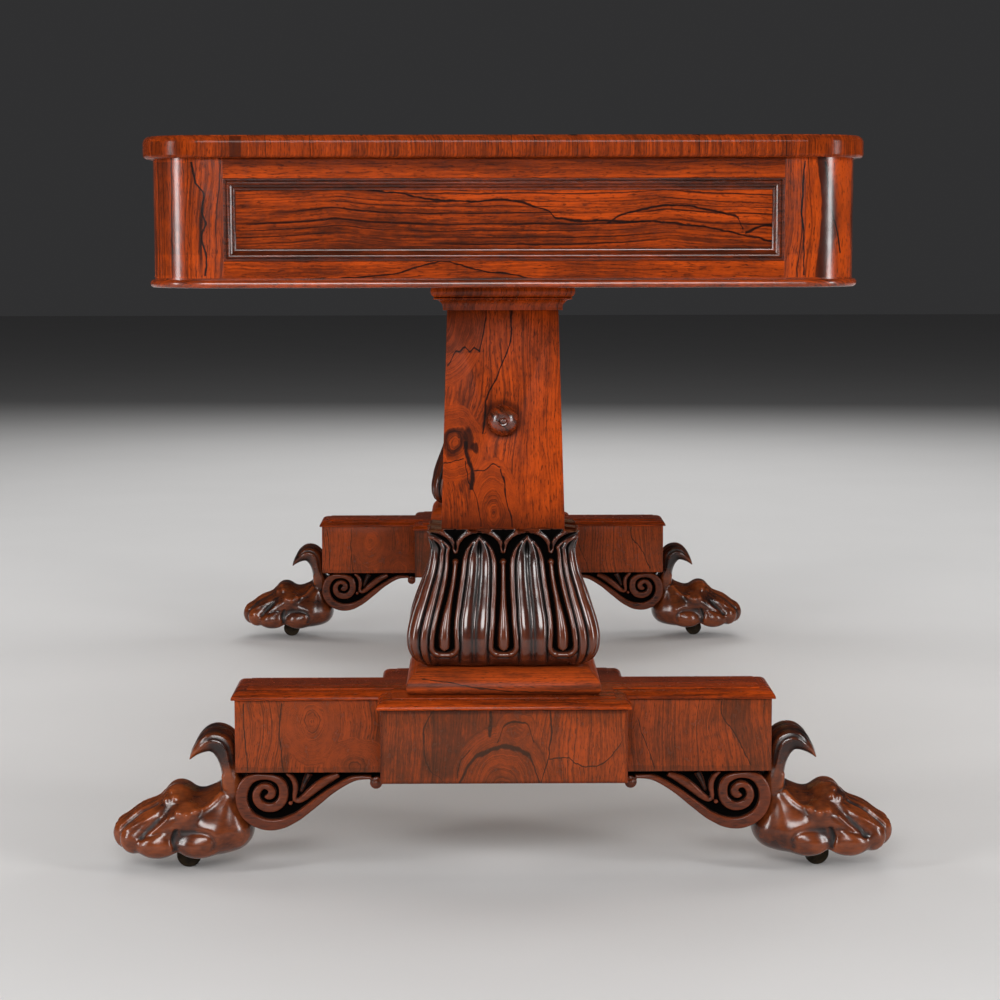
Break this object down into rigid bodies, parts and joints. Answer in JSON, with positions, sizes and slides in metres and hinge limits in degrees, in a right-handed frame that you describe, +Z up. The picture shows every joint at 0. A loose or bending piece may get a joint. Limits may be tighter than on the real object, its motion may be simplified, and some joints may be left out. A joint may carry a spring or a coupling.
{
  "type": "library table",
  "caption": "Long rosewood library table on two carved end pedestals with paw feet on castors, joined by a turned stretcher, with drawers in one long side.",
  "frame": {"origin": "on the floor below the middle of the table top", "axes": "+Z up, +Y along the table from the pictured end to the other, +X towards the drawers"},
  "size_m": [0.7938, 1.8, 0.7345],
  "materials": {
    "rosewood": "french polished",
    "carved_rosewood": "dark polished carving",
    "moulding": "dark polished",
    "lining": "waxed",
    "brass": "aged",
    "steel": "dull"
  },
  "bodies": {
    "table": {"table_top": "rosewood", "corner_posts": "rosewood", "end_rails": "rosewood", "end_panels": "rosewood", "panel_mouldings": "moulding", "bead_mouldings": "rosewood", "side_rails_left": "rosewood", "side_rails_right": "rosewood", "side_stiles": "rosewood", "dummy_fronts": "rosewood", "dummy_knobs": "rosewood", "cross_bearers": "lining", "bearer_screws": "steel", "drawer_runners": "lining", "stretcher": "rosewood", "stretcher_bolts": "steel", "capital_near": "rosewood", "column_near": "rosewood", "boss_near": "rosewood", "lotus_block_near": "carved_rosewood", "cushion_near": "rosewood", "plinth_block_near": "rosewood", "plinth_arms_near": "rosewood", "plinth_cap_near": "rosewood", "volute_brackets_near": "carved_rosewood", "paw_left_near": "carved_rosewood", "paw_right_near": "carved_rosewood", "capital_far": "rosewood", "column_far": "rosewood", "boss_far": "rosewood", "lotus_block_far": "carved_rosewood", "cushion_far": "rosewood", "plinth_block_far": "rosewood", "plinth_arms_far": "rosewood", "plinth_cap_far": "rosewood", "volute_brackets_far": "carved_rosewood", "paw_left_far": "carved_rosewood", "paw_right_far": "carved_rosewood", "castor_plates": "brass", "castor_screws": "steel"},
    "drawer_near": {"drawer_front_near": "rosewood", "drawer_moulding_near": "moulding", "drawer_sides_near": "lining", "drawer_back_near": "lining", "drawer_bottom_near": "lining", "drawer_knobs_near": "rosewood"},
    "drawer_far": {"drawer_front_far": "rosewood", "drawer_moulding_far": "moulding", "drawer_sides_far": "lining", "drawer_back_far": "lining", "drawer_bottom_far": "lining", "drawer_knobs_far": "rosewood"},
    "fork_left_near": {"castor_fork_left_near": "brass"},
    "wheel_left_near": {"castor_wheel_left_near": "brass"},
    "fork_right_near": {"castor_fork_right_near": "brass"},
    "wheel_right_near": {"castor_wheel_right_near": "brass"},
    "fork_left_far": {"castor_fork_left_far": "brass"},
    "wheel_left_far": {"castor_wheel_left_far": "brass"},
    "fork_right_far": {"castor_fork_right_far": "brass"},
    "wheel_right_far": {"castor_wheel_right_far": "brass"}
  },
  "joints": [
    {"name": "drawer_slide_near", "type": "slide", "parent": "table", "child": "drawer_near", "axis": [1, 0, 0], "range_m": [0, 0.32]},
    {"name": "drawer_slide_far", "type": "slide", "parent": "table", "child": "drawer_far", "axis": [1, 0, 0], "range_m": [0, 0.32]},
    {"name": "castor_swivel_left_near", "type": "hinge", "parent": "table", "child": "fork_left_near", "pos_m": [-0.329, -0.72, 0.03], "axis": [0, 0, 1], "continuous": true},
    {"name": "castor_roll_left_near", "type": "hinge", "parent": "fork_left_near", "child": "wheel_left_near", "pos_m": [-0.321, -0.72, 0.0125], "axis": [0, 1, 0], "continuous": true},
    {"name": "castor_swivel_right_near", "type": "hinge", "parent": "table", "child": "fork_right_near", "pos_m": [0.329, -0.72, 0.03], "axis": [0, 0, 1], "continuous": true},
    {"name": "castor_roll_right_near", "type": "hinge", "parent": "fork_right_near", "child": "wheel_right_near", "pos_m": [0.321, -0.72, 0.0125], "axis": [0, 1, 0], "continuous": true},
    {"name": "castor_swivel_left_far", "type": "hinge", "parent": "table", "child": "fork_left_far", "pos_m": [-0.329, 0.72, 0.03], "axis": [0, 0, 1], "continuous": true},
    {"name": "castor_roll_left_far", "type": "hinge", "parent": "fork_left_far", "child": "wheel_left_far", "pos_m": [-0.321, 0.72, 0.0125], "axis": [0, 1, 0], "continuous": true},
    {"name": "castor_swivel_right_far", "type": "hinge", "parent": "table", "child": "fork_right_far", "pos_m": [0.329, 0.72, 0.03], "axis": [0, 0, 1], "continuous": true},
    {"name": "castor_roll_right_far", "type": "hinge", "parent": "fork_right_far", "child": "wheel_right_far", "pos_m": [0.321, 0.72, 0.0125], "axis": [0, 1, 0], "continuous": true}
  ]
}
